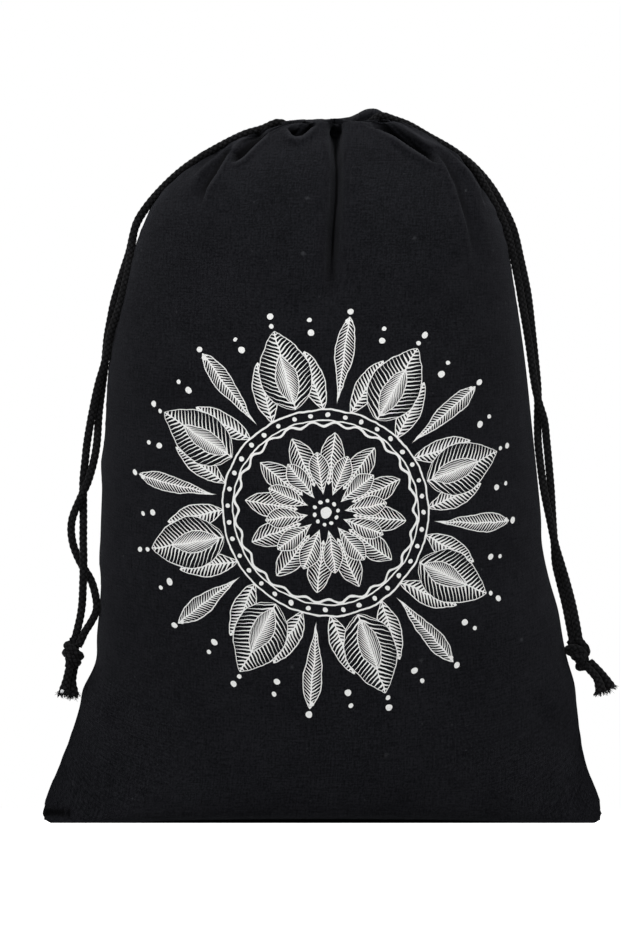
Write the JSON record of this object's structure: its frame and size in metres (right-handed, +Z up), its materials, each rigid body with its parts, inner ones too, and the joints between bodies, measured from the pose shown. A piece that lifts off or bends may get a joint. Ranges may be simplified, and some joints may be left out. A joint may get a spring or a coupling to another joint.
{
  "type": "linen drawstring bread bag",
  "caption": "Black linen drawstring bag for bread, filled out and standing, its hem gathered by paired cords that lie over the shoulders to knots at the flanks.",
  "frame": {"origin": "middle of the flat base that the bag stands on", "axes": "+Z up to the gathered hem, +X along the width, -Y out of the printed front"},
  "size_m": [0.3064, 0.1252, 0.3847],
  "materials": {
    "linen": "plain-woven black linen with a white print on the front",
    "cord": "round-plaited black cotton cord"
  },
  "bodies": {
    "root": {"bag_front": "linen", "bag_back": "linen", "drawcord_left_a": "cord", "drawcord_left_b": "cord", "drawcord_right_a": "cord", "drawcord_right_b": "cord", "knot_left": "cord", "knot_right": "cord", "tail_left_a": "cord", "tail_left_b": "cord", "tail_right_a": "cord", "tail_right_b": "cord"}
  },
  "joints": []
}
